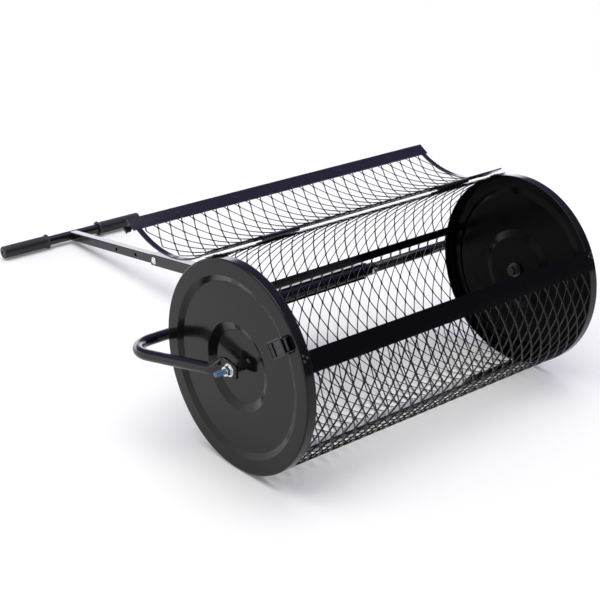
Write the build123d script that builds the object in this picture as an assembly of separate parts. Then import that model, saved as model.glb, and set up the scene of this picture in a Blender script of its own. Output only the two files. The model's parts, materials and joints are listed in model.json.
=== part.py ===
from build123d import *
import math
import os

# Compost spreader roller: a mesh drum between two pressed end discs, pushed or pulled by a yoke and pole.
# Everything is drawn in the axle frame: X along the axle with 0 at mid length, Y to the rear, Z up,
# angles measured about X from +Y towards +Z. The last step moves it all to the part's own origin.

# ---- driving dimensions, mm and degrees
DISC_R = 185.0            # rolling radius of the drum
HALF = 350.0              # axle centre to the outer face of a disc rim
SHEET = 1.5               # pressed sheet of the discs
RIM_W = 18.0              # width of the rolled rim flange
MESH_T = 0.6              # solid sheet with the weight of the expanded mesh
POLE_TILT = 7.85          # the pole falls to the rear by this angle
HANDLE_Y, HANDLE_Z = 1072.3, -168.0
YOKE_Y, YOKE_Z = 221.0, -24.5
YOKE_X = 426.0            # corner where the cross run would meet a yoke arm
TUBE_R = 10.0             # round yoke tube
TUBE_WALL = 1.5
SLEEVE_R = 12.5
SLEEVE_HALF = 168.0
POLE_OUT = 25.0           # square outer pole
POLE_IN = 20.0            # square inner pole
POLE_WALL = 1.5
HINGE_R, HINGE_A = 193.0, 72.9
DOOR_TURN = 204.5         # from open at rest to closed
STRIP_A = (141.6, 149.3)  # free edge strip of the closed door
FRONT_BAR_A = (151.8, 162.9)
BACK_BAR_A = 8.6
BOTTOM_BAR_A = 260.0
LATCH_A = 145.4
LATCH_R = 171.0
AXLE_R = 5.0
RUN = 0.05                # running clearance of pins in bores

# ---- sizes that follow
FLANGE_IN = DISC_R - SHEET
MESH_IN = FLANGE_IN - MESH_T
DOOR_IN = DISC_R + 1.0
DOOR_OUT = DOOR_IN + 2.2
BETWEEN = HALF - RIM_W
GRIP_FLANGE_R = DISC_R + HANDLE_Z
Y_MID = (HANDLE_Y + GRIP_FLANGE_R - DISC_R) / 2
HINGE_Y = HINGE_R * math.cos(math.radians(HINGE_A))
HINGE_Z = HINGE_R * math.sin(math.radians(HINGE_A))

SECTION = Plane.YZ        # local x is +Y, local y is +Z, extrudes along +X


# ---- helpers
def polar(radius, angle):
    """A point of the YZ section at a radius and an angle about the axle."""
    return (radius * math.cos(math.radians(angle)), radius * math.sin(math.radians(angle)))


def along_x(face, x0, x1):
    """A section face pulled along X from x0 to x1."""
    return Pos(x0, 0, 0) * extrude(SECTION * face, amount=x1 - x0)


def arc_band(r_in, r_out, a0, a1, x0, x1):
    """A curved strip about the axle."""
    outer = CenterArc((0, 0), r_out, a0, a1 - a0)
    inner = CenterArc((0, 0), r_in, a0, a1 - a0)
    ends = Line(outer @ 0, inner @ 0) + Line(outer @ 1, inner @ 1)
    return along_x(make_face(outer + inner + ends), x0, x1)


def x_rod(radius, x0, x1, y=0.0, z=0.0):
    """A round bar along X."""
    return Pos((x0 + x1) / 2, y, z) * Rot(0, 90, 0) * Cylinder(radius, abs(x1 - x0))


def x_tube(r_in, r_out, x0, x1, y=0.0, z=0.0):
    """A round tube along X."""
    return x_rod(r_out, x0, x1, y, z) - x_rod(r_in, x0 - 1, x1 + 1, y, z)


def hex_nut(across_flats, bore, x0, x1, y=0.0, z=0.0):
    """A hexagon nut on an axis along X."""
    blank = extrude(RegularPolygon(across_flats / 2, 6, major_radius=False), amount=x1 - x0)
    blank = Pos(x0, y, z) * Rot(0, 90, 0) * blank
    return blank - x_rod(bore, x0 - 1, x1 + 1, y, z)


def both_sides(shape):
    """A right-hand piece with its left-hand twin, as separate solids."""
    return Compound(children=[shape, mirror(shape, about=Plane.YZ)])


def group(shapes):
    """Loose solids kept in one node."""
    return Compound(children=[solid for shape in shapes for solid in shape.solids()])


def open_door(shape):
    """Swings a piece of the closed door back on its hinge to the resting place."""
    to_pin = Pos(0, HINGE_Y, HINGE_Z)
    return to_pin * Rot(-DOOR_TURN, 0, 0) * to_pin.inverse() * shape


def pole_frame(distance):
    """A place on the pole's axis, at a distance forward of the handlebar, local +Z towards the front."""
    return Pos(0, HANDLE_Y, HANDLE_Z) * Rot(90 - POLE_TILT, 0, 0) * Pos(0, 0, distance)


def square_tube(side, wall, start, end):
    """A square tube along the pole's axis between two distances from the handlebar."""
    outer = Rectangle(side, side)
    outer = fillet(outer.vertices(), 2.0)
    inner = Rectangle(side - 2 * wall, side - 2 * wall)
    return pole_frame(start) * extrude(outer - inner, amount=end - start)


# ---- end discs
HUB_BORE = 8.0
DISH_STEPS = [            # depth of the sheet's mid line below the rim face, radius, bend radius
    (14.75, HUB_BORE, 0),
    (14.75, 63.0, 4.0),
    (6.75, 77.0, 4.0),
    (6.75, 147.0, 4.0),
    (0.75, 157.0, 4.0),
    (0.75, 184.25, 2.2),
    (RIM_W, 184.25, 0),
]


def sheet_section(steps, thickness):
    """The cut through a pressed sheet whose mid line follows the steps."""
    points = [Vector(depth, radius) for depth, radius, _ in steps]
    sides = []
    for sign in (1, -1):
        side = []
        for i, point in enumerate(points):
            before = (point - points[i - 1]).normalized() if i else None
            after = (points[i + 1] - point).normalized() if i + 1 < len(points) else None
            normals = [Vector(-d.Y, d.X) for d in (before, after) if d is not None]
            bisector = sum(normals[1:], normals[0]).normalized()
            side.append(point + bisector * (sign * thickness / 2 / bisector.dot(normals[0])))
        sides.append(side)
    lines = []
    for sign, side in zip((1, -1), sides):
        radii = []
        for i in range(1, len(points) - 1):
            turn = (points[i] - points[i - 1]).cross(points[i + 1] - points[i]).Z
            radii.append(steps[i][2] - math.copysign(thickness / 2, turn) * sign)
        lines.append(FilletPolyline(*side, radius=radii))
    ends = Line(sides[0][0], sides[1][0]) + Line(sides[0][-1], sides[1][-1])
    return make_face(lines[0] + lines[1] + ends)


def end_disc():
    """The right-hand disc, dished towards the inside of the drum."""
    section = sheet_section(DISH_STEPS, SHEET)
    disc = revolve(section, axis=Axis.X)
    return Pos(HALF, 0, 0) * mirror(disc, about=Plane.YZ)


HUB_IN, HUB_OUT = HALF - 21.0, HALF - 4.0


def hub_bush():
    """The turned bush in the disc's centre that runs on the axle bolt."""
    bush = x_tube(AXLE_R + RUN, HUB_BORE, HUB_IN, HUB_OUT)
    face = HALF - 14.0 - SHEET
    return bush + x_tube(AXLE_R + RUN, 14.0, face - 3.0, face)


# ---- drum cage
def end_tabbed_band(angles, thickness, tab_angles):
    """A band between the rims, with a tab under each rim for its rivets."""
    band = arc_band(FLANGE_IN, FLANGE_IN + thickness, *angles, -BETWEEN, BETWEEN)
    for side in (-1, 1):
        x0, x1 = sorted((side * (BETWEEN - 14.0), side * (HALF - 4.0)))
        band += arc_band(MESH_IN - 1.2, FLANGE_IN - 0.05, *tab_angles, x0, x1)
    return band


MESH_SPAN = (FRONT_BAR_A[1] - 2.9, 360 + HINGE_A - 3.0)
HINGE_BAR_A = (HINGE_A - 6.2, HINGE_A - 0.6)


def flat_bar(angle, width, thickness):
    """A flat bar along the drum, laid against the inside of the mesh."""
    section = Rectangle(thickness, width)
    radius = math.sqrt(MESH_IN ** 2 - (width / 2) ** 2) - thickness / 2
    section = Pos(*polar(radius, angle)) * Rot(0, 0, angle) * section
    return along_x(section, -(HALF - 2 * SHEET - 1), HALF - 2 * SHEET - 1)


def dome(radius, height):
    """A rivet or button head standing on z = 0."""
    ball_r = (radius ** 2 + height ** 2) / (2 * height)
    ball = Pos(0, 0, height - ball_r) * Sphere(ball_r)
    return ball & (Pos(0, 0, height / 2) * Cylinder(radius + 1, height))


def radial_head(x, angle, surface_r, radius, height, outwards=1):
    """A head standing outwards (1) or inwards (-1) from a drum surface."""
    y, z = polar(surface_r, angle)
    return Pos(x, y, z) * Rot(angle - outwards * 90, 0, 0) * dome(radius, height)


def bar_rivets():
    """Three heads on each rim where the front bar is held, two on each strap of the hinge bar."""
    places = [(HALF - 6.0, FRONT_BAR_A[0] + 1.6), (HALF - 6.0, FRONT_BAR_A[0] + 4.4)]
    places.append((HALF - 13.0, FRONT_BAR_A[0] + 3.0))
    heads = [radial_head(x, angle, DISC_R, 2.4, 1.3) for x, angle in places]
    for along in (0.25, 0.65):
        angle = HINGE_BAR_A[0] + along * (HINGE_BAR_A[1] - HINGE_BAR_A[0])
        heads.append(radial_head(HALF - 15.0, angle, HINGE_BAR_OUT + LEAF_T, 2.2, 1.2))
    return group([both_sides(head) for head in heads])


# ---- door hinges
KNUCKLE_R = 4.3
PIN_R = 2.5
HINGES = [                # centre of a hinge and the half width of its leaves
    (-206.0, 39.0),
    (206.0, 39.0),
]
STRAP_START = 326.0       # straps carry the hinge bar over the disc rims from here outwards
HINGE_BAR_OUT = FLANGE_IN + 2.0
LEAF_T = 1.6


def knuckle(x0, x1, bore):
    """A rolled knuckle on the hinge line."""
    return x_tube(bore, KNUCKLE_R, x0, x1, HINGE_Y, HINGE_Z)


def drum_leaf(centre, half_width):
    """The fixed leaf, with its knuckle in the middle third."""
    inner = half_width / 3 - 0.2
    leaf = arc_band(HINGE_BAR_OUT, HINGE_BAR_OUT + LEAF_T, *HINGE_BAR_A, centre - half_width, centre + half_width)
    neck = arc_band(HINGE_BAR_OUT, HINGE_R - 3.2, HINGE_A - 1.9, HINGE_A + 0.3, centre - inner, centre + inner)
    pin_hole = x_rod(PIN_R, centre - inner - 1, centre + inner + 1, HINGE_Y, HINGE_Z)
    return (leaf + neck + knuckle(centre - inner, centre + inner, PIN_R)) - pin_hole


def door_leaf(centre, half_width):
    """The moving leaf, closed, with a knuckle in each outer third."""
    leaf = arc_band(DOOR_OUT, DOOR_OUT + LEAF_T, HINGE_A + 2.5, HINGE_A + 7.4, centre - half_width,
                    centre + half_width)
    for side in (-1, 1):
        x0, x1 = sorted((centre + side * half_width, centre + side * (half_width / 3 + 0.2)))
        leaf += arc_band(DOOR_OUT, DOOR_OUT + LEAF_T, HINGE_A, HINGE_A + 2.6, x0, x1)
        leaf += knuckle(x0, x1, PIN_R + RUN)
        leaf -= x_rod(PIN_R + RUN, x0 - 1, x1 + 1, HINGE_Y, HINGE_Z)
    return leaf


def hinge_bar():
    """The bar that carries the fixed leaves, with a strap over each disc's rim."""
    bar = end_tabbed_band(HINGE_BAR_A, 2.0, (MESH_SPAN[1] - 360 + 0.4, HINGE_BAR_A[1]))
    strap = arc_band(HINGE_BAR_OUT, HINGE_BAR_OUT + LEAF_T, *HINGE_BAR_A, STRAP_START, HALF)
    return bar + strap + mirror(strap, about=Plane.YZ)


def hinge_pin(centre, half_width):
    """The hinge pin, fast in the fixed leaf."""
    return x_rod(PIN_R, centre - half_width - 1.5, centre + half_width + 1.5, HINGE_Y, HINGE_Z)


# ---- door
DOOR_BAR_A = (HINGE_A + 2.4, HINGE_A + 7.4)
DOOR_SIDE_X = (HALF - 10.0, HALF)
STRIP_HALF = HALF + 6.0
CATCH_W = 12.0


def door_side():
    """The right-hand curved side bar of the closed door."""
    return arc_band(DOOR_IN, DOOR_OUT, DOOR_BAR_A[1], STRIP_A[0], *DOOR_SIDE_X)


def door_strip():
    """The free edge: a strip with a small lip turned outwards."""
    strip = arc_band(DOOR_IN, DOOR_OUT, *STRIP_A, -STRIP_HALF, STRIP_HALF)
    lip = arc_band(DOOR_IN, DOOR_OUT + 2.5, STRIP_A[1] - 0.6, STRIP_A[1], -STRIP_HALF, STRIP_HALF)
    return strip + lip


def door_mesh():
    """The door's mesh, fixed to the inside of its frame."""
    half = DOOR_SIDE_X[0] + 2.0
    return arc_band(DOOR_IN - MESH_T, DOOR_IN, DOOR_BAR_A[0] + 1.0, STRIP_A[1] - 2.0, -half, half)


def door_catch():
    """The hook at the strip's end that the latch loop pulls on."""
    outline = [
        (HALF - 15.0, 0.0), (STRIP_HALF, 0.0), (STRIP_HALF, 8.3), (STRIP_HALF + 7.0, 8.3), (STRIP_HALF + 7.0, 12.8),
        (STRIP_HALF + 5.5, 12.8), (STRIP_HALF + 5.5, 9.8), (STRIP_HALF - 1.5, 9.8), (STRIP_HALF - 1.5, 1.5),
        (HALF - 15.0, 1.5),
    ]
    profile = Polygon(*outline, align=None)
    y, z = polar(DOOR_OUT, LATCH_A)
    plane = Plane(origin=(0, y, z), x_dir=(1, 0, 0), z_dir=(0, *polar(1, LATCH_A + 90)))
    hook = plane * extrude(profile, amount=CATCH_W / 2, both=True)
    return hook - arc_band(DOOR_IN - 5, DOOR_OUT, *STRIP_A, -STRIP_HALF, STRIP_HALF)


STRIP_RIVETS = 5
RIVET_PITCH = 128.0
SEAT = 0.03               # lets a flat head sit on the hollow side of the curved mesh


def door_rivets():
    """A row of heads clamping the mesh under the strip, and a pair on each door leaf."""
    heads = []
    for i in range(STRIP_RIVETS):
        x = RIVET_PITCH * (i - (STRIP_RIVETS - 1) / 2)
        heads.append(radial_head(x, LATCH_A, DOOR_IN - MESH_T - SEAT, 3.0, 1.4, outwards=-1))
    for centre, half_width in HINGES:
        for side in (-1, 1):
            x = centre + side * half_width * 0.55
            heads.append(radial_head(x, HINGE_A + 5.2, DOOR_OUT + LEAF_T, 2.4, 1.2))
    return group(heads)


# ---- latches, drawn on the right-hand disc: local x inwards, local z outwards from the disc
LATCH_Y, LATCH_Z = polar(LATCH_R, LATCH_A)
LATCH = Plane(origin=(HALF, LATCH_Y, LATCH_Z), x_dir=(0, *polar(-1, LATCH_A)), z_dir=(1, 0, 0))
LEVER_PIVOT_W = 6.0       # height of the lever's pin above the disc face
LEVER_PIN_R = 1.5
LEVER_L = 37.0
BAIL_U, BAIL_W = 8.0, 9.2
BAIL_REACH = 36.7         # from the loop's eye to its cross bar
BAIL_HALF = 13.5
BAIL_R = 1.25


def latch_box(u, v, w):
    """A block in latch coordinates, from pairs of limits."""
    size = [b - a for a, b in (u, v, w)]
    centre = [(a + b) / 2 for a, b in (u, v, w)]
    return Pos(*centre) * Box(*size)


def latch_rod(radius, u, w, half_length):
    """A rod along the latch's width."""
    return Pos(u, 0, w) * Rot(90, 0, 0) * Cylinder(radius, 2 * half_length)


def latch_base():
    """The riveted base with two ears."""
    base = latch_box((-4.0, 16.0), (-11.0, 11.0), (0.0, 1.5))
    for side in (-1, 1):
        v = sorted((side * 7.6, side * 9.2))
        base += latch_box((-3.5, 3.5), v, (1.5, LEVER_PIVOT_W))
        ear = Pos(0, side * 8.4, LEVER_PIVOT_W) * Rot(90, 0, 0) * Cylinder(3.5, 1.6)
        base += ear
    base -= latch_rod(LEVER_PIN_R, 0, LEVER_PIVOT_W, 12.0)
    return LATCH * base


def latch_pin():
    """The lever's pin, fast in the ears."""
    return LATCH * latch_rod(LEVER_PIN_R, 0, LEVER_PIVOT_W, 10.2)


def latch_lever():
    """The lever plate, its barrel, the eye for the loop and a turned-up finger lip."""
    lever = latch_rod(3.0, 0, LEVER_PIVOT_W, 7.3)
    lever += latch_box((0.0, 7.0), (-7.3, 7.3), (LEVER_PIVOT_W - 0.8, LEVER_PIVOT_W + 0.8))
    lever += latch_box((6.0, LEVER_L), (-11.0, 11.0), (LEVER_PIVOT_W - 0.8, LEVER_PIVOT_W + 0.8))
    lever += latch_box((LEVER_L - 1.6, LEVER_L), (-11.0, 11.0), (LEVER_PIVOT_W, LEVER_PIVOT_W + 2.6))
    lever += latch_rod(2.7, BAIL_U, BAIL_W, 11.0)
    lever -= latch_rod(BAIL_R + RUN, BAIL_U, BAIL_W, 12.0)
    lever -= latch_rod(LEVER_PIN_R + RUN, 0, LEVER_PIVOT_W, 9.0)
    return LATCH * lever


def latch_bail():
    """The wire loop, at rest folded flat round the lever."""
    far = BAIL_U + BAIL_REACH
    corners = [(BAIL_U, 0.5), (BAIL_U, BAIL_HALF), (far, BAIL_HALF), (far, -BAIL_HALF), (BAIL_U, -BAIL_HALF),
               (BAIL_U, -0.5)]
    path = FilletPolyline(*[Vector(u, v, BAIL_W) for u, v in corners], radius=2.4)
    start = Plane(origin=path @ 0, z_dir=path % 0)
    return LATCH * sweep(start * Circle(BAIL_R), path=path)


# ---- axle bolts and their stack, right-hand side
PLATE_X = (HALF + 3.0, HALF + 9.0)       # flattened end of the yoke arm
THREAD_END = HALF + 39.0


def axle_bolt():
    """A through bolt with its head inside the drum."""
    head = Pos(HUB_IN - 9.0, 0, 0) * Rot(0, 90, 0) * extrude(RegularPolygon(8.5, 6, major_radius=False), amount=6.5)
    return head + x_rod(AXLE_R, HUB_IN - 2.6, THREAD_END)


def axle_washers():
    """Plain washers inside the hub, and each side of the yoke plate."""
    bore = AXLE_R
    places = [(HUB_IN - 2.5, HUB_IN - 0.5, 9.0), (PLATE_X[1], PLATE_X[1] + 2.0, 11.5)]
    return group([both_sides(x_tube(bore, radius, x0, x1)) for x0, x1, radius in places])


def axle_nuts():
    """A jam nut inside the yoke plate and a nut outside it."""
    jam = hex_nut(16.0, AXLE_R, HUB_OUT + 0.5, PLATE_X[0])
    outer = hex_nut(16.0, AXLE_R, PLATE_X[1] + 2.0, PLATE_X[1] + 10.5)
    return group([both_sides(jam), both_sides(outer)])


# ---- yoke
PLATE_HALF = 16.0
ARM_END = (370.0, 38.0, -8.0)            # where the round arm starts to flatten; the arms lean inwards
BEND_R = 47.0


def yoke_tube():
    """The right-hand yoke tube: half the cross run, the bend, the arm and its flattened end."""
    corners = [Vector(2.0, YOKE_Y, YOKE_Z), Vector(YOKE_X, YOKE_Y, YOKE_Z), Vector(*ARM_END)]
    path = FilletPolyline(*corners, radius=BEND_R)
    start = Plane(origin=path @ 0, z_dir=path % 0)
    tube = sweep(start * (Circle(TUBE_R) - Circle(TUBE_R - TUBE_WALL)), path=path)
    finish = Plane(origin=path @ 1, z_dir=path % 1)
    plate_x = sum(PLATE_X) / 2
    plate_thick = PLATE_X[1] - PLATE_X[0]
    edge = Plane(origin=(plate_x, PLATE_HALF + 2.0, 0), x_dir=(1, 0, 0), z_dir=(0, -1, 0))
    flat = loft([finish * Circle(TUBE_R), edge * Rectangle(plate_thick, 2 * PLATE_HALF)])
    plate = Pos(plate_x, 1.0, 0) * Box(plate_thick, 2 * PLATE_HALF + 2.0, 2 * PLATE_HALF)
    plate = fillet(plate.edges().filter_by(Axis.X).group_by(Axis.Y)[0], 5.0)
    return tube + flat + plate - x_rod(AXLE_R, PLATE_X[0] - 1, PLATE_X[1] + 1)


def yoke_sleeve():
    """The middle sleeve that the two yoke tubes push into."""
    sleeve = x_tube(TUBE_R, SLEEVE_R, -SLEEVE_HALF, SLEEVE_HALF, YOKE_Y, YOKE_Z)
    for side in (-1, 1):
        sleeve -= Pos(side * BOLT_X, YOKE_Y, YOKE_Z) * Rot(90, 0, 0) * Cylinder(3.0, 4 * SLEEVE_R)
    return sleeve


BOLT_X = SLEEVE_HALF - 7.5


def cross_hole(shape):
    """Drills the clamp bolt's hole through a yoke tube."""
    return shape - Pos(BOLT_X, YOKE_Y, YOKE_Z) * Rot(90, 0, 0) * Cylinder(3.0, 4 * SLEEVE_R)


def y_bolt(x, z, y_front, y_rear):
    """A button-head screw along Y with its head to the front."""
    shank = Pos(x, (y_front + y_rear) / 2, z) * Rot(90, 0, 0) * Cylinder(3.0, y_rear - y_front)
    return shank + Pos(x, y_front, z) * Rot(90, 0, 0) * dome(6.0, 3.5)


def yoke_bolts():
    """The screws that lock the yoke tubes in the sleeve."""
    screw = y_bolt(BOLT_X, YOKE_Z, YOKE_Y - SLEEVE_R, YOKE_Y + SLEEVE_R + 7.0)
    return both_sides(screw)


def yoke_nuts():
    """Nuts on the yoke screws."""
    rear = YOKE_Y + SLEEVE_R
    nut = extrude(RegularPolygon(5.0, 6, major_radius=False), amount=5.0)
    nut = Pos(BOLT_X, rear, YOKE_Z) * Rot(-90, 0, 0) * nut
    nut -= Pos(BOLT_X, rear, YOKE_Z) * Rot(90, 0, 0) * Cylinder(3.0, 30.0)
    return both_sides(nut)


GUSSET_T = 2.5
GUSSET_TILT = {1: 20.0, -1: 24.0}        # fall to the rear of the top plate (1) and the bottom plate (-1)
GUSSET_FRONT_HALF = {1: 150.0, -1: 140.0}
GUSSET_REAR_HALF = 16.0


def pole_edge(y, side):
    """Height of the pole's top (side 1) or underside (side -1) at a place behind the axle."""
    tilt = math.radians(POLE_TILT)
    return HANDLE_Z + (HANDLE_Y - y) * math.tan(tilt) + side * POLE_OUT / 2 / math.cos(tilt)


def gusset_plane(side):
    """The plane touching the sleeve's top or underside and falling to the rear, facing up."""
    tilt = math.radians(GUSSET_TILT[side])
    up = (math.sin(tilt), math.cos(tilt))
    origin = (0, YOKE_Y + side * SLEEVE_R * up[0], YOKE_Z + side * SLEEVE_R * up[1])
    return Plane(origin=origin, x_dir=(1, 0, 0), z_dir=(0, *up))


def gusset(side):
    """A tapering plate from the sleeve down to the pole's top or underside."""
    plane = gusset_plane(side)
    tilt = math.radians(GUSSET_TILT[side])
    closing = math.sin(tilt) - math.cos(tilt) * math.tan(math.radians(POLE_TILT))
    length = (plane.origin.Z - pole_edge(plane.origin.Y, side)) / closing
    front = GUSSET_FRONT_HALF[side]
    rear = GUSSET_REAR_HALF
    outline = Polygon((-front, -4), (front, -4), (front, 4), (rear, length), (-rear, length), (-front, 4), align=None)
    return plane * Pos(0, 0, min(side, 0) * GUSSET_T) * extrude(outline, amount=GUSSET_T)


# ---- pole and handle
POLE_FRONT = 872.0        # distance of the outer pole's front end from the handlebar, along the pole
POLE_REAR = 346.0
INNER_FRONT = 600.0
HOLE_STEP = 77.0
LOCK_AT = POLE_REAR + 14.0
HOLE_R = 4.2
FREE_HOLES = 2
HANDLE_R = 11.0
HANDLE_HALF = 170.0
GRIP_R = 14.0
GRIP_END = 185.0
GRIP_START = 68.0


def side_hole(distance, radius, reach):
    """A drill across the pole at a distance from the handlebar."""
    return pole_frame(distance) * Rot(0, 90, 0) * Cylinder(radius, 2 * reach)


def outer_pole():
    """The fixed outer pole, mitred onto the bottom plate and drilled for the lock bolt."""
    pole = square_tube(POLE_OUT, POLE_WALL, POLE_REAR, POLE_FRONT) - side_hole(LOCK_AT, 3.0, POLE_OUT)
    return pole - gusset_plane(-1) * Pos(0, 0, -50) * Box(100, 400, 100)


def inner_pole():
    """The sliding inner pole, coped onto the handlebar, with its row of adjusting holes."""
    pole = square_tube(POLE_IN, POLE_WALL, 2.0, INNER_FRONT)
    for i in range(-1, FREE_HOLES + 1):
        pole -= side_hole(LOCK_AT - i * HOLE_STEP, HOLE_R, POLE_IN)
    return pole - x_rod(HANDLE_R, -40, 40, HANDLE_Y, HANDLE_Z)


LOCK_GAP = 0.6            # the screw's tip stops short of the inner pole


def lock_bolt():
    """The lock screw, backed off clear of the inner pole."""
    tip = POLE_IN / 2 + LOCK_GAP
    face = POLE_OUT / 2
    shank = pole_frame(LOCK_AT) * Rot(0, -90, 0) * Pos(0, 0, tip) * extrude(Circle(3.0), amount=face - tip + 2.0)
    flange = pole_frame(LOCK_AT) * Rot(0, -90, 0) * Pos(0, 0, face) * extrude(Circle(8.0), amount=1.6)
    head = pole_frame(LOCK_AT) * Rot(0, -90, 0) * Pos(0, 0, face + 1.6) * dome(6.8, 4.5)
    return shank + flange + head


def handlebar():
    """The cross tube of the handle."""
    return x_tube(HANDLE_R - TUBE_WALL, HANDLE_R, -HANDLE_HALF, HANDLE_HALF, HANDLE_Y, HANDLE_Z)


def grip():
    """The right-hand rubber grip: a sleeve with a flange at its inner end and a small vent at its outer end."""
    body = x_rod(GRIP_R, GRIP_START, GRIP_END, HANDLE_Y, HANDLE_Z)
    body = fillet(body.edges().filter_by(GeomType.CIRCLE).sort_by(Axis.X)[-1], 2.5)
    body += x_rod(GRIP_FLANGE_R, GRIP_START, GRIP_START + 5.0, HANDLE_Y, HANDLE_Z)
    body -= x_rod(HANDLE_R, GRIP_START - 1, HANDLE_HALF, HANDLE_Y, HANDLE_Z)
    return body - x_rod(2.5, HANDLE_HALF - 1, GRIP_END + 1, HANDLE_Y, HANDLE_Z)


# ---- the nodes
def flip(shape):
    """The left-hand twin of a right-hand piece."""
    return mirror(shape, about=Plane.YZ)


right_tube = cross_hole(yoke_tube())
NODES = {
    "yoke_tube_right": right_tube,
    "yoke_tube_left": flip(right_tube),
    "yoke_sleeve": yoke_sleeve(),
    "yoke_bolts": yoke_bolts(),
    "yoke_nuts": yoke_nuts(),
    "gusset_top": gusset(1),
    "gusset_bottom": gusset(-1),
    "outer_pole": outer_pole(),
    "pole_lock_bolt": lock_bolt(),
    "axle_bolts": both_sides(axle_bolt()),
    "axle_washers": axle_washers(),
    "axle_nuts": axle_nuts(),
    "inner_pole": inner_pole(),
    "handlebar": handlebar(),
    "grip_right": grip(),
    "grip_left": flip(grip()),
    "end_disc_right": end_disc(),
    "end_disc_left": flip(end_disc()),
    "hub_bushes": both_sides(hub_bush()),
    "basket_mesh": arc_band(MESH_IN, FLANGE_IN, *MESH_SPAN, -(HALF - 3.0), HALF - 3.0),
    "front_bar": end_tabbed_band(FRONT_BAR_A, SHEET, (FRONT_BAR_A[0] + 0.6, MESH_SPAN[0] - 0.4)),
    "hinge_bar": hinge_bar(),
    "back_bar": flat_bar(BACK_BAR_A, 17.0, 3.0),
    "bottom_bar": flat_bar(BOTTOM_BAR_A, 17.0, 3.0),
    "bar_rivets": bar_rivets(),
    "drum_hinge_leaves": group([drum_leaf(*hinge) for hinge in HINGES]),
    "hinge_pins": group([hinge_pin(*hinge) for hinge in HINGES]),
    "latch_bases": both_sides(latch_base()),
    "latch_pins": both_sides(latch_pin()),
    "latch_lever_right": latch_lever(),
    "latch_lever_left": flip(latch_lever()),
    "latch_loop_right": latch_bail(),
    "latch_loop_left": flip(latch_bail()),
    "door_mesh": open_door(door_mesh()),
    "door_strip": open_door(door_strip()),
    "door_hinge_bar": open_door(arc_band(DOOR_IN, DOOR_OUT, *DOOR_BAR_A, -DOOR_SIDE_X[1], DOOR_SIDE_X[1])),
    "door_side_right": open_door(door_side()),
    "door_side_left": open_door(flip(door_side())),
    "door_hinge_leaves": open_door(group([door_leaf(*hinge) for hinge in HINGES])),
    "door_catches": open_door(both_sides(door_catch())),
    "door_rivets": open_door(door_rivets()),
}

TO_ORIGIN = Pos(0, -Y_MID, DISC_R)
os.makedirs("parts", exist_ok=True)
for name, shape in NODES.items():
    export_step(TO_ORIGIN * shape, f"parts/{name}.step")
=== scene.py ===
import json
import math

import bpy
import bmesh
from mathutils import Matrix, Vector


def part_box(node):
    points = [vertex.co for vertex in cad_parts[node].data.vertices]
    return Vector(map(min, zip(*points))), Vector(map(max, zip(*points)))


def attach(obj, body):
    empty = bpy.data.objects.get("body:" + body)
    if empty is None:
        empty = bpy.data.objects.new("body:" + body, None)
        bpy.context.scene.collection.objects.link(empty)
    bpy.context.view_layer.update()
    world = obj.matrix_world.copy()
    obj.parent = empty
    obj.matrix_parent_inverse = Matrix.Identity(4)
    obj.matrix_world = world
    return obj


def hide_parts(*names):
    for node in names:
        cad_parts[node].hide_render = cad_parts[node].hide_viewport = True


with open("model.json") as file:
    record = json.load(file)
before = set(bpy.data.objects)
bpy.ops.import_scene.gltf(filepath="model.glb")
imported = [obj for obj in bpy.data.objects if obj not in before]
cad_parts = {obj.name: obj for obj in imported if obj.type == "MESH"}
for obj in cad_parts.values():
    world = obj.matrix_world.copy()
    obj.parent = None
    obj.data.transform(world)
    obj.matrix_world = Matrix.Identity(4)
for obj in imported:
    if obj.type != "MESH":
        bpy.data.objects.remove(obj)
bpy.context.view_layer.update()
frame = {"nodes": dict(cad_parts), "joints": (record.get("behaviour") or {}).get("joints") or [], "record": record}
scene = bpy.context.scene
nodes = frame["nodes"]
joints = {joint["name"]: joint for joint in frame["joints"]}

# ---- sizes read from the frame, metres
disc_low, disc_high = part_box("end_disc_right")
DISC_R = (disc_high.z - disc_low.z) / 2
AXLE_Y = (disc_low.y + disc_high.y) / 2
AXLE_Z = (disc_low.z + disc_high.z) / 2
HALF = disc_high.x
RIM_W = disc_high.x - disc_low.x
HINGE = Vector(joints["door_hinge"]["pos_m"])
AXLE = Vector((0, AXLE_Y, AXLE_Z))
DOOR_TURN = math.radians(joints["door_hinge"]["range_deg"][1])


# ---- helpers
HOLD = 0.0004             # from a bend to the point that keeps the flat beside it flat


def on_drum(x, radius, angle):
    """A point at a radius and an angle about the axle, angle in radians from +Y towards +Z."""
    return Vector((x, AXLE_Y + radius * math.cos(angle), AXLE_Z + radius * math.sin(angle)))


def new_object(name, mesh, material, body, smooth=True):
    """Links a mesh, gives it its material and lets it ride on a body."""
    piece = bpy.data.objects.new(name, mesh)
    scene.collection.objects.link(piece)
    mesh.materials.append(material)
    if smooth:
        mesh.polygons.foreach_set("use_smooth", [True] * len(mesh.polygons))
    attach(piece, body)
    return piece


def mesh_from(name, verts, faces):
    """A mesh from plain lists, with its normals made consistent."""
    mesh = bpy.data.meshes.new(name)
    mesh.from_pydata([tuple(v) for v in verts], [], faces)
    mesh.validate()
    work = bmesh.new()
    work.from_mesh(mesh)
    bmesh.ops.recalc_face_normals(work, faces=work.faces)
    work.to_mesh(mesh)
    work.free()
    return mesh


def grid_faces(rows, columns, wrap_rows=False, start=0):
    """Quads over a grid of points stored row by row, each row closed on itself."""
    faces = []
    for i in range(rows if wrap_rows else rows - 1):
        for j in range(columns):
            a, b = i, (i + 1) % rows
            c, d = j, (j + 1) % columns
            faces.append((start + a * columns + c, start + a * columns + d,
                          start + b * columns + d, start + b * columns + c))
    return faces


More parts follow.
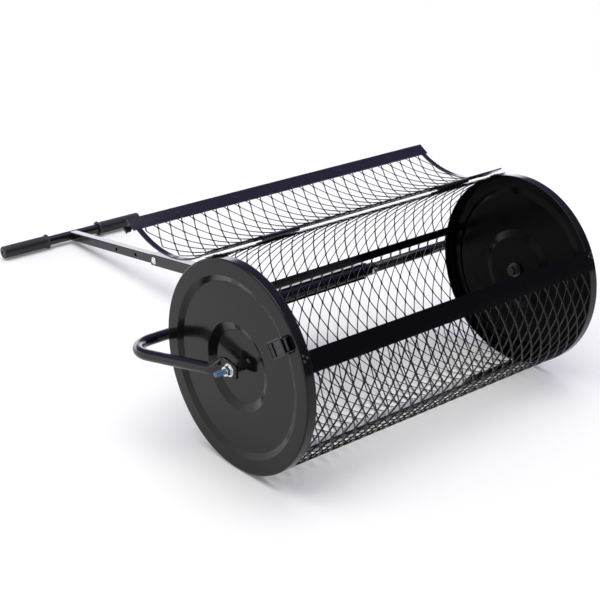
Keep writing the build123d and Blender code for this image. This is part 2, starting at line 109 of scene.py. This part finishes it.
def rounded(points, radii, steps=8):
    """A 2D line with its corners turned into arcs, and a point just before and after each arc."""
    line = [Vector(points[0])]
    for before, corner, after, radius in zip(points, points[1:], points[2:], radii):
        corner = Vector(corner)
        inward, outward = (Vector(before) - corner).normalized(), (Vector(after) - corner).normalized()
        half = inward.angle(outward) / 2
        cut = radius / math.tan(half)
        centre = corner + (inward + outward).normalized() * (radius / math.sin(half))
        start, end = corner + inward * cut, corner + outward * cut
        first, last = start - centre, end - centre
        turn = first.angle_signed(last)
        line.append(start + inward * HOLD)
        for i in range(steps + 1):
            t = -turn * i / steps
            line.append(centre + Matrix.Rotation(t, 2) @ first)
        line.append(end + outward * HOLD)
    line.append(Vector(points[-1]))
    return line


def sections_to_mesh(name, rings):
    """Joins rings of points into one closed skin."""
    count = len(rings[0])
    verts = [p for ring in rings for p in ring]
    faces = grid_faces(len(rings), count)
    faces.append(tuple(range(count)))
    faces.append(tuple(range(len(verts) - count, len(verts))))
    return mesh_from(name, verts, faces)


def bent_line(points, radii, steps=12):
    """A 3D line with its inner corners turned into arcs."""
    line = [Vector(points[0])]
    for before, corner, after, radius in zip(points, points[1:], points[2:], radii):
        corner = Vector(corner)
        inward, outward = (Vector(before) - corner).normalized(), (Vector(after) - corner).normalized()
        half = inward.angle(outward) / 2
        centre = corner + (inward + outward).normalized() * (radius / math.sin(half))
        first = corner + inward * (radius / math.tan(half)) - centre
        last = corner + outward * (radius / math.tan(half)) - centre
        axis, turn = first.cross(last), first.angle(last)
        for i in range(steps + 1):
            line.append(centre + Matrix.Rotation(turn * i / steps, 3, axis) @ first)
    line.append(Vector(points[-1]))
    return line


def lathe(profile, x_sign, centre, segments=64):
    """Points and faces of a closed profile of (distance along X, radius) turned about a line along X."""
    rings = []
    for along, radius in profile:
        ring = []
        for i in range(segments):
            angle = 2 * math.pi * i / segments
            ring.append(centre + Vector((x_sign * along, radius * math.cos(angle), radius * math.sin(angle))))
        rings.append(ring)
    verts = [p for ring in rings for p in ring]
    return verts, grid_faces(len(rings), segments, wrap_rows=True)


def joined(name, parts):
    """One mesh from several lists of points and faces."""
    verts, faces = [], []
    for part_verts, part_faces in parts:
        start = len(verts)
        verts += part_verts
        faces += [tuple(start + i for i in face) for face in part_faces]
    return mesh_from(name, verts, faces)


# ---- materials
def noise(tree, scale, detail, rough=0.55):
    """A noise in object space, scale in cells per metre."""
    node = tree.nodes.new("ShaderNodeTexNoise")
    node.inputs["Scale"].default_value = scale
    node.inputs["Detail"].default_value = detail
    node.inputs["Roughness"].default_value = rough
    tree.links.new(tree.nodes.new("ShaderNodeTexCoord").outputs["Object"], node.inputs["Vector"])
    return node.outputs["Fac"]


def ramp(tree, factor, stops):
    """A colour ramp from (position, colour) stops."""
    node = tree.nodes.new("ShaderNodeValToRGB")
    while len(node.color_ramp.elements) < len(stops):
        node.color_ramp.elements.new(0.5)
    for element, (position, colour) in zip(node.color_ramp.elements, stops):
        element.position = position
        element.color = (*colour, 1.0)
    tree.links.new(factor, node.inputs["Fac"])
    return node.outputs["Color"]


def map_range(tree, factor, low, high):
    """A factor stretched between two values."""
    node = tree.nodes.new("ShaderNodeMapRange")
    node.inputs["To Min"].default_value = low
    node.inputs["To Max"].default_value = high
    tree.links.new(factor, node.inputs["Value"])
    return node.outputs["Result"]


def bump(tree, height, strength, distance):
    """A bump normal from a height."""
    node = tree.nodes.new("ShaderNodeBump")
    node.inputs["Strength"].default_value = strength
    node.inputs["Distance"].default_value = distance
    tree.links.new(height, node.inputs["Height"])
    return node.outputs["Normal"]


def new_material(name, metallic=0.0):
    """A Principled material, returned with its tree and shader."""
    material = bpy.data.materials.new(name)
    material.use_nodes = True
    tree = material.node_tree
    shader = tree.nodes["Principled BSDF"]
    shader.inputs["Metallic"].default_value = metallic
    return material, tree, shader


def paint(name, dark, light, rough, peel):
    """Baked black paint: a slight drift of tone, uneven gloss and a little orange peel."""
    material, tree, shader = new_material(name)
    drift = noise(tree, 9.0, 3.0)
    fine = noise(tree, 420.0, 2.0)
    wipe = noise(tree, 28.0, 5.0, 0.65)
    tree.links.new(ramp(tree, drift, [(0.3, dark), (0.7, light)]), shader.inputs["Base Color"])
    tree.links.new(map_range(tree, wipe, rough * 0.75, rough * 1.3), shader.inputs["Roughness"])
    tree.links.new(bump(tree, fine, peel, 0.0001), shader.inputs["Normal"])
    return material


def dull(material, level):
    """Sets how strongly a material's surface mirrors its surroundings."""
    material.node_tree.nodes["Principled BSDF"].inputs["Specular IOR Level"].default_value = level


def plated(name, dark, light, rough):
    """Zinc plate: bright metal with fine spangle."""
    material, tree, shader = new_material(name, metallic=1.0)
    cells = noise(tree, 260.0, 6.0, 0.7)
    tree.links.new(ramp(tree, cells, [(0.35, dark), (0.65, light)]), shader.inputs["Base Color"])
    tree.links.new(map_range(tree, cells, rough * 0.7, rough * 1.4), shader.inputs["Roughness"])
    tree.links.new(bump(tree, cells, 0.15, 0.0001), shader.inputs["Normal"])
    return material


def rubber_material():
    """Moulded rubber with a fine matt grain."""
    material, tree, shader = new_material("rubber")
    grain = noise(tree, 1400.0, 3.0)
    drift = noise(tree, 30.0, 3.0)
    tree.links.new(ramp(tree, drift, [(0.3, (0.003, 0.003, 0.004)), (0.7, (0.006, 0.006, 0.008))]),
                   shader.inputs["Base Color"])
    tree.links.new(map_range(tree, grain, 0.4, 0.55), shader.inputs["Roughness"])
    tree.links.new(bump(tree, grain, 0.35, 0.0002), shader.inputs["Normal"])
    return material


DISC_PAINT = paint("disc_paint", (0.0026, 0.0024, 0.0022), (0.0050, 0.0046, 0.0042), 0.12, 0.03)
# painted shade: a darker, less mirror-like copy of the disc paint for the discs' inner faces, standing in for the
# shade inside the drum
INSIDE_SHADE_PAINT = paint("inside_painted_shade", (0.0004, 0.0004, 0.0004), (0.0008, 0.0008, 0.0009), 0.24, 0.03)
BAR_PAINT = paint("bar_paint", (0.0003, 0.0003, 0.0006), (0.0007, 0.0006, 0.0013), 0.12, 0.010)
TUBE_PAINT = paint("tube_paint", (0.0008, 0.0008, 0.0014), (0.0018, 0.0017, 0.0028), 0.14, 0.03)
MESH_PAINT = paint("mesh_paint", (0.0006, 0.0006, 0.0007), (0.0014, 0.0014, 0.0016), 0.2, 0.05)
ZINC = plated("zinc", (0.55, 0.56, 0.57), (0.8, 0.8, 0.8), 0.2)
# painted shade: a darkened copy of the zinc for the bush and washers inside the drum
SHADED_ZINC = plated("zinc_painted_shade", (0.05, 0.05, 0.05), (0.11, 0.11, 0.11), 0.38)
BLUE_ZINC = plated("blue_zinc", (0.05, 0.11, 0.18), (0.10, 0.19, 0.28), 0.26)
RUBBER = rubber_material()
# the inside paint also mirrors less, as part of its painted shade
dull(INSIDE_SHADE_PAINT, 0.08)
dull(DISC_PAINT, 0.25)
dull(MESH_PAINT, 0.30)
BY_SLOT = {
    "disc_paint": DISC_PAINT,
    "bar_paint": BAR_PAINT,
    "tube_paint": TUBE_PAINT,
    "mesh_paint": MESH_PAINT,
    "zinc": ZINC,
    "blue_zinc": BLUE_ZINC,
    "rubber": RUBBER,
}


EDGE_ROUNDING = 0.0003
EDGE_FROM = math.radians(40)      # only edges sharper than this are rounded


def dress_cad():
    """Gives every CAD node the material of its slot and a small rounding of its edges."""
    for part in frame["record"]["subparts"]:
        node = nodes[part["node"]]
        node.data.materials.clear()
        node.data.materials.append(BY_SLOT[part["material_slot"]])
        edge = node.modifiers.new("edge", "BEVEL")
        edge.width = EDGE_ROUNDING
        edge.segments = 2
        edge.limit_method = "ANGLE"
        edge.angle_limit = EDGE_FROM
    # the bush inside the drum takes the darkened zinc: painted shade
    nodes["hub_bushes"].data.materials[0] = SHADED_ZINC


# ---- end discs
SHEET = 0.0015            # thickness of the pressed sheet
RIM_R = 0.0030
DISC_STEPS = [            # depth below the rim face, radius
    (0.0140, 0.0070),
    (0.0140, 0.0625),
    (0.0060, 0.0775),
    (0.0060, 0.1465),
    (0.0000, 0.1575),
    (0.0000, DISC_R),
    (RIM_W, DISC_R),
]
DISC_BENDS = [0.0030, 0.0030, 0.0028, 0.0028, RIM_R]
DISC_SEGMENTS = 256


def end_disc(side):
    """A pressed disc with soft steps, turned about the axle and given its sheet thickness."""
    name = "disc_left" if side < 0 else "disc_right"
    line = rounded(DISC_STEPS, DISC_BENDS)
    line.insert(1, line[0] + (line[1] - line[0]).normalized() * HOLD)
    line.insert(-1, line[-1] + (line[-2] - line[-1]).normalized() * HOLD)
    verts = []
    for depth, radius in line:
        for i in range(DISC_SEGMENTS):
            angle = 2 * math.pi * i / DISC_SEGMENTS
            verts.append(on_drum(side * (HALF - depth), radius, angle))
    mesh = mesh_from(name, verts, grid_faces(len(line), DISC_SEGMENTS))
    middle = mesh.polygons[len(mesh.polygons) // 2]
    if middle.normal.x * side < 0:
        mesh.flip_normals()
    piece = new_object(name, mesh, DISC_PAINT, "drum")
    wall = piece.modifiers.new("sheet", "SOLIDIFY")
    wall.thickness = SHEET
    wall.offset = -1.0
    # the inner shell takes the darker inside paint: painted shade of the drum's inside
    wall.material_offset = 1
    mesh.materials.append(INSIDE_SHADE_PAINT)
    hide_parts("end_disc_left" if side < 0 else "end_disc_right")


# ---- expanded metal
PITCH = 0.0254            # width of a diamond, along the axle
LENGTH = 0.050            # length of a diamond, round the drum
BOND = 0.0046             # length where two strands stay joined
STRAND_W = 0.0023
STRAND_T = 0.0014
STRAND_TILT = math.radians(28)
CAGE_R = DISC_R - SHEET - 0.0004
CAGE_ANGLES = (math.radians(159.5), math.radians(430.0))
PANEL_R = DISC_R + 0.0014
PANEL_ANGLES = (math.radians(76.5), math.radians(142.2))     # of the closed door
SIDE_BAR_W = 0.010


def zigzag(phase):
    """The sideways swing of a strand, from -1 to 1, over one diamond's length."""
    phase = phase % 1.0
    flat = BOND / LENGTH
    slope = 0.5 - flat
    if phase < flat:
        return 1.0
    if phase < flat + slope:
        return 1.0 - 2.0 * (phase - flat) / slope
    if phase < 2 * flat + slope:
        return -1.0
    return -1.0 + 2.0 * (phase - 2 * flat - slope) / slope


def expanded_metal(name, radius, angles, half_width, place, body, node):
    """A curved sheet of expanded metal: ribbons that zigzag and meet at the bonds."""
    start, end = angles
    flat = BOND / LENGTH
    slope = 0.5 - flat
    breaks = [0.0, flat, flat + slope / 2, flat + slope, 2 * flat + slope, 2 * flat + 1.5 * slope]
    periods = (end - start) * radius / LENGTH
    swing = PITCH / 4 - STRAND_W / 2 * math.cos(STRAND_TILT)
    count = int(2 * (half_width - PITCH / 4) / (PITCH / 2)) + 1
    stations = []
    for i in range(int(periods) + 1):
        stations += [i + b for b in breaks if i + b < periods]
    stations.append(periods)
    verts, faces = [], []
    for k in range(count):
        middle = (k - (count - 1) / 2) * PITCH / 2
        sign = 1 if k % 2 else -1
        first = len(verts)
        for s in stations:
            angle = start + s * LENGTH / radius
            x = middle + sign * swing * zigzag(s)
            for u, v in ((-1, -1), (1, -1), (1, 1), (-1, 1)):
                across = u * STRAND_W / 2
                through = v * STRAND_T / 2
                dx = across * math.cos(STRAND_TILT) - through * math.sin(STRAND_TILT)
                dr = across * math.sin(STRAND_TILT) + through * math.cos(STRAND_TILT)
                verts.append(place @ on_drum(x + dx, radius + dr, angle))
        faces += grid_faces(len(stations), 4, start=first)
        faces.append((first + 3, first + 2, first + 1, first))
        last = first + (len(stations) - 1) * 4
        faces.append((last, last + 1, last + 2, last + 3))
    mesh = mesh_from(name, verts, faces)
    piece = new_object(name, mesh, MESH_PAINT, body, smooth=False)
    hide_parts(node)


def door_opened():
    """The turn that brings the closed door to its resting place."""
    return Matrix.Translation(HINGE) @ Matrix.Rotation(-DOOR_TURN, 4, "X") @ Matrix.Translation(-HINGE)


def wire_cage():
    """The drum's and the door's expanded metal."""
    expanded_metal("cage_mesh", CAGE_R, CAGE_ANGLES, HALF - RIM_W, Matrix.Identity(4), "drum", "basket_mesh")
    expanded_metal("door_panel_mesh", PANEL_R, PANEL_ANGLES, HALF - SIDE_BAR_W, door_opened(), "door",
                   "door_mesh")


# ---- yoke
TUBE_R = 0.010
PLATE_T, PLATE_HALF = 0.006, 0.016
YOKE = (0.4260, 0.2210, -0.0245)          # corner of the cross run and an arm, from the axle's middle
STUB = (0.3700, 0.0380, -0.0080)
ARM_BENDS = [0.047, 0.018, 0.012]
PLATE_X = 0.356
PLATE_FROM, PLATE_TO = 0.018, -0.0155     # ends of the straight run past the bolt, along Y
PRESS_TO = 0.016                          # fully flat from here on
TUBE_GAP = 0.002                          # from the middle to the tube's end, inside the sleeve
TUBE_SEGMENTS = 48


def yoke_tube(side):
    """One side of the yoke: cross run, bend, arm, and the end pressed flat round the axle bolt."""
    _, y, z = YOKE
    corners = [(TUBE_GAP, y, z), YOKE, STUB, (PLATE_X, PLATE_FROM, 0.0), (PLATE_X, PLATE_TO, 0.0)]
    line = bent_line(corners, ARM_BENDS)
    rings = []
    reach = (Vector(corners[2]) - Vector(corners[3])).length
    for i, point in enumerate(line):
        ahead = (line[min(i + 1, len(line) - 1)] - line[max(i - 1, 0)]).normalized()
        across = Vector((0, 0, 1)).cross(ahead).normalized()
        up = ahead.cross(across)
        press = min(max(1.0 - (point.y - PRESS_TO) / reach, 0.0), 1.0) if point.y < 0.05 else 0.0
        press = press * press * (3 - 2 * press)
        half_w = TUBE_R + press * (PLATE_T / 2 - TUBE_R)
        half_h = TUBE_R + press * (PLATE_HALF - TUBE_R)
        power = 1.0 - 0.72 * press
        tip = 1.0 - 0.3 * max(0.0, (-0.010 - point.y) / 0.0055) ** 2
        ring = []
        for k in range(TUBE_SEGMENTS):
            angle = 2 * math.pi * k / TUBE_SEGMENTS
            c, s = math.cos(angle), math.sin(angle)
            u = math.copysign(abs(c) ** power, c) * half_w
            v = math.copysign(abs(s) ** power, s) * half_h * tip
            spot = point + across * u + up * v
            ring.append(AXLE + Vector((side * spot.x, spot.y, spot.z)))
        rings.append(ring)
    name = "yoke_left" if side < 0 else "yoke_right"
    piece = new_object(name, sections_to_mesh(name, rings), TUBE_PAINT, "frame")
    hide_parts("yoke_tube_left" if side < 0 else "yoke_tube_right")


# ---- axle bolts, nuts and washers
CHAMFER = 0.58            # rise over run of a nut's chamfer
THREAD_R = 0.0050
THREAD_PITCH = 0.0015
THREAD_DEPTH = 0.0008
HEAD_IN = HALF - 0.030    # inner face of the bolt's head
HEAD_FLATS, NUT_FLATS = 0.017, 0.016
WASHER_T, WASHER_R, INNER_WASHER_R = 0.0020, 0.0115, 0.009
THREAD_FROM, THREAD_TO = HALF + 0.002, HALF + 0.039


def thread(side):
    """The turned thread with a small chamfer at its tip."""
    segments, per_turn = 40, 6
    count = int((THREAD_TO - THREAD_FROM) / THREAD_PITCH * per_turn) + 1
    verts = []
    for j in range(count):
        x = THREAD_FROM + (THREAD_TO - THREAD_FROM) * j / (count - 1)
        for i in range(segments):
            turn = i / segments
            ridge = abs(2 * (((x - THREAD_FROM) / THREAD_PITCH - turn) % 1.0) - 1)
            radius = THREAD_R - THREAD_DEPTH * (1 - ridge)
            radius = min(radius, THREAD_R - THREAD_DEPTH * 1.4 + (THREAD_TO - x) * 0.8)
            angle = 2 * math.pi * turn
            verts.append(AXLE + Vector((side * x, radius * math.cos(angle), radius * math.sin(angle))))
    faces = grid_faces(count, segments)
    faces += [tuple(range(segments)), tuple(range(len(verts) - segments, len(verts)))]
    return verts, faces


def nut(side, x0, x1, flats, bore):
    """A hexagon nut with both faces chamfered at 30 degrees."""
    segments = 72
    crown = flats / 2 * 0.96
    rings = []
    for face, inward in ((x0, 1), (x1, -1)):
        bevel, edge = [], []
        for i in range(segments):
            angle = 2 * math.pi * i / segments
            hexagon = flats / 2 / math.cos((angle + math.pi / 6) % (math.pi / 3) - math.pi / 6)
            c, s = math.cos(angle), math.sin(angle)
            bevel.append((face, crown * c, crown * s))
            edge.append((face + inward * (hexagon - crown) * CHAMFER, hexagon * c, hexagon * s))
        rings += [bevel, edge] if inward > 0 else [edge, bevel]
    turns = [2 * math.pi * i / segments for i in range(segments)]
    for x in (x1, x0):
        rings.append([(x, bore * math.cos(turn), bore * math.sin(turn)) for turn in turns])
    verts = [AXLE + Vector((side * p[0], p[1], p[2])) for ring in rings for p in ring]
    return verts, grid_faces(len(rings), segments, wrap_rows=True)


def washer(side, x0, x1, radius, bore):
    """A plain washer with softened edges."""
    soft = (x1 - x0) * 0.22
    profile = [(x0, bore), (x0, radius - soft), (x0 + soft, radius), (x1 - soft, radius), (x1, radius - soft),
               (x1, bore)]
    return lathe(profile, side, AXLE)


def axle_stack():
    """Both ends of the axle as they show outside the discs, with the bolt head inside given black paint as painted
    shade.
    """
    plate_out = PLATE_X + PLATE_T / 2
    threads, bolts, nuts, washers, inner_washers = [], [], [], [], []
    for side in (-1, 1):
        threads.append(thread(side))
        bolts.append(nut(side, HEAD_IN, HEAD_IN + 0.0065, HEAD_FLATS, 0.0005))
        shank = [(HEAD_IN + 0.006, 0.0002), (HEAD_IN + 0.006, THREAD_R), (THREAD_FROM, THREAD_R),
                 (THREAD_FROM, 0.0002)]
        bolts.append(lathe(shank, side, AXLE, 40))
        nuts.append(nut(side, HALF - 0.0035, PLATE_X - PLATE_T / 2, NUT_FLATS, THREAD_R))
        nuts.append(nut(side, plate_out + WASHER_T, plate_out + 0.0105, NUT_FLATS, THREAD_R - 0.0002))
        washers.append(washer(side, plate_out, plate_out + WASHER_T, WASHER_R, THREAD_R))
        inner_washers.append(washer(side, HALF - 0.0235, HALF - 0.0215, INNER_WASHER_R, THREAD_R))
    piece = new_object("axle_threads", joined("axle_threads", threads), BLUE_ZINC, "frame")
    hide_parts("axle_bolts")
    # painted shade: the bolt heads and shanks inside the drum take the black bar paint instead of the bolt's zinc
    piece = new_object("shaded_axle_heads", joined("shaded_axle_heads", bolts), BAR_PAINT, "frame", smooth=False)
    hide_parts("axle_bolts")
    piece = new_object("axle_hex_nuts", joined("axle_hex_nuts", nuts), ZINC, "frame", smooth=False)
    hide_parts("axle_nuts")
    piece = new_object("axle_plain_washers", joined("axle_plain_washers", washers), ZINC, "frame",
                       smooth=False)
    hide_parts("axle_washers")
    # the washers inside the drum take the darkened zinc: painted shade
    piece = new_object("hub_washers", joined("hub_washers", inner_washers), SHADED_ZINC, "frame",
                       smooth=False)
    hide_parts("axle_washers")


# ---- grips
GRIP_R, GRIP_BORE = 0.0140, 0.0110
RIB_PITCH, RIB_DEPTH = 0.0035, 0.0004
RIB_MARGIN = 0.012        # plain length before and after the ribs
DOME_R = 0.003


def grip(side):
    """A moulded grip: a rounded flange, shallow ribs, a domed end with a vent."""
    name = "grip_left" if side < 0 else "grip_right"
    low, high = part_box(name)
    start, end = sorted((abs(low.x), abs(high.x)))
    flange_r = (high.z - low.z) / 2
    centre = Vector((0, (low.y + high.y) / 2, (low.z + high.z) / 2))
    profile = [(start, GRIP_BORE), (start, flange_r - 0.0016), (start + 0.0006, flange_r - 0.0005),
               (start + 0.0020, flange_r), (start + 0.0032, flange_r - 0.0005),
               (start + 0.0045, flange_r - 0.0016), (start + 0.0060, GRIP_R + 0.0002), (start + 0.0100, GRIP_R)]
    ribs_from, ribs_to = start + RIB_MARGIN, end - RIB_MARGIN
    count = int((ribs_to - ribs_from) / RIB_PITCH)
    for i in range(count):
        x = ribs_from + i * RIB_PITCH
        profile += [(x, GRIP_R), (x + 0.0003, GRIP_R - RIB_DEPTH), (x + 0.0011, GRIP_R - RIB_DEPTH),
                    (x + 0.0014, GRIP_R)]
    for i in range(9):
        turn = math.pi / 2 * i / 8
        profile.append((end - DOME_R + DOME_R * math.sin(turn), GRIP_R - DOME_R + DOME_R * math.cos(turn)))
    profile += [(end, 0.0034), (end - 0.0006, 0.0026), (end - 0.012, 0.0025), (end - 0.0145, GRIP_BORE)]
    verts, faces = lathe(profile, side, centre, 72)
    piece = new_object("rubber_" + name, mesh_from("rubber_" + name, verts, faces), RUBBER, "handle",
                       smooth=False)
    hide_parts(name)


# ---- camera, light and floor
LENS = 83.86              # for a 36 mm wide sensor
CAMERA_AT = Vector((-1.6017, -1.6208, 1.0090))     # from the axle's middle
CAMERA_AZIMUTH = math.radians(-40.35)
CAMERA_ELEVATION = math.radians(22.58)
CAMERA_LEAN = math.radians(1.1)


def add_camera():
    """The camera, at its measured place from the axle."""
    data = bpy.data.cameras.new("camera")
    data.lens = LENS
    data.sensor_width = 36.0
    camera = bpy.data.objects.new("camera", data)
    scene.collection.objects.link(camera)
    aim = Matrix.Rotation(CAMERA_AZIMUTH, 3, "Z") @ Matrix.Rotation(math.pi / 2 - CAMERA_ELEVATION, 3, "X")
    aim = Matrix.Rotation(-CAMERA_LEAN, 3, "X") @ aim
    camera.matrix_world = Matrix.Translation(AXLE + CAMERA_AT) @ aim.to_4x4()
    scene.camera = camera


def area_light(name, place, size, power):
    """A soft white box aimed at the axle's middle."""
    data = bpy.data.lights.new(name, "AREA")
    data.shape = "RECTANGLE"
    data.size, data.size_y = size
    data.energy = power
    light = bpy.data.objects.new(name, data)
    scene.collection.objects.link(light)
    light.location = place
    light.rotation_euler = (AXLE - Vector(place)).to_track_quat("-Z", "Y").to_euler()


KEY_AT = (-1.6, -0.4, 2.6)
SIDE_AT = (-3.0, -2.2, 0.9)
FLOOR_SIZE = 60.0
FLOOR_DROP = 0.0005               # keeps the floor's face off the lowest point of the discs
LEFTWARD = (-1, 0, 0)
BEHIND = (0.647, 0.762, 0.0)      # level direction away from the camera
SKY = [                            # height of a direction's Z, and the light that comes from it
    (0.00, (0.06, 0.06, 0.07)),
    (0.36, (0.08, 0.08, 0.10)),
    (0.60, (0.28, 0.25, 0.42)),
    (0.84, (0.38, 0.34, 0.70)),
    (0.94, (3.00, 3.00, 3.05)),
    (1.00, (3.20, 3.20, 3.20)),
]
LEFT = [                           # the paler wall beside the left-hand disc
    (0.00, (1.45, 1.43, 1.40)),
    (0.40, (1.35, 1.33, 1.30)),
    (0.60, (0.45, 0.42, 0.55)),
    (0.84, (0.45, 0.42, 0.60)),
    (0.94, (3.00, 3.00, 3.05)),
    (1.00, (3.20, 3.20, 3.20)),
]
GLOW = [                           # the bright backdrop low down behind the object
    (0.00, (2.9, 2.8, 3.1)),
    (0.24, (2.9, 2.8, 3.1)),
    (0.34, (0.36, 0.30, 0.54)),
    (0.50, (0.24, 0.21, 0.38)),
    (0.84, (0.38, 0.34, 0.70)),
    (0.94, (3.00, 3.00, 3.05)),
    (1.00, (3.20, 3.20, 3.20)),
]


def vector_dot(tree, vector, fixed):
    """The dot product of a direction with a fixed one."""
    node = tree.nodes.new("ShaderNodeVectorMath")
    node.operation = "DOT_PRODUCT"
    node.inputs[1].default_value = fixed
    tree.links.new(vector, node.inputs[0])
    return node.outputs["Value"]


def blend_colours(tree, factor, first, second):
    """A mix of two colours by a factor."""
    node = tree.nodes.new("ShaderNodeMix")
    node.data_type = "RGBA"
    tree.links.new(factor, node.inputs[0])
    for socket, colour in ((node.inputs[6], first), (node.inputs[7], second)):
        if isinstance(colour, tuple):
            socket.default_value = (*colour, 1.0)
        else:
            tree.links.new(colour, socket)
    return node.outputs[2]


def studio_world():
    """White to the camera; for light and reflections, a soft roof, a bright backdrop and darker sides."""
    world = bpy.data.worlds.new("studio")
    world.use_nodes = True
    tree = world.node_tree
    direction = tree.nodes.new("ShaderNodeTexCoord").outputs["Generated"]
    height = vector_dot(tree, direction, (0, 0, 1))
    light = ramp(tree, height, SKY)
    for towards, start, full, stops in ((LEFTWARD, 0.25, 0.55, LEFT), (BEHIND, 0.30, 0.62, GLOW)):
        zone = tree.nodes.new("ShaderNodeMapRange")
        zone.interpolation_type = "SMOOTHSTEP"
        zone.inputs["From Min"].default_value = start
        zone.inputs["From Max"].default_value = full
        tree.links.new(vector_dot(tree, direction, towards), zone.inputs["Value"])
        light = blend_colours(tree, zone.outputs["Result"], light, ramp(tree, height, stops))
    seen = tree.nodes.new("ShaderNodeLightPath").outputs["Is Camera Ray"]
    tree.links.new(blend_colours(tree, seen, light, (1.0, 1.0, 1.0)), tree.nodes["Background"].inputs["Color"])
    scene.world = world


def studio():
    """A plain pale floor and soft light."""
    studio_world()
    bpy.ops.mesh.primitive_plane_add(size=FLOOR_SIZE, location=(0, 0, -FLOOR_DROP))
    floor = bpy.context.object
    floor.name = "floor"
    material, tree, shader = new_material("floor_white")
    shader.inputs["Base Color"].default_value = (0.94, 0.95, 0.87, 1.0)
    shader.inputs["Roughness"].default_value = 0.9
    floor.data.materials.append(material)
    area_light("key", KEY_AT, (2.2, 1.4), 11)
    area_light("side", SIDE_AT, (0.7, 1.2), 6)


dress_cad()
for side in (-1, 1):
    end_disc(side)
    yoke_tube(side)
    grip(side)
axle_stack()
wire_cage()
add_camera()
studio()
scene.view_settings.view_transform = "Standard"
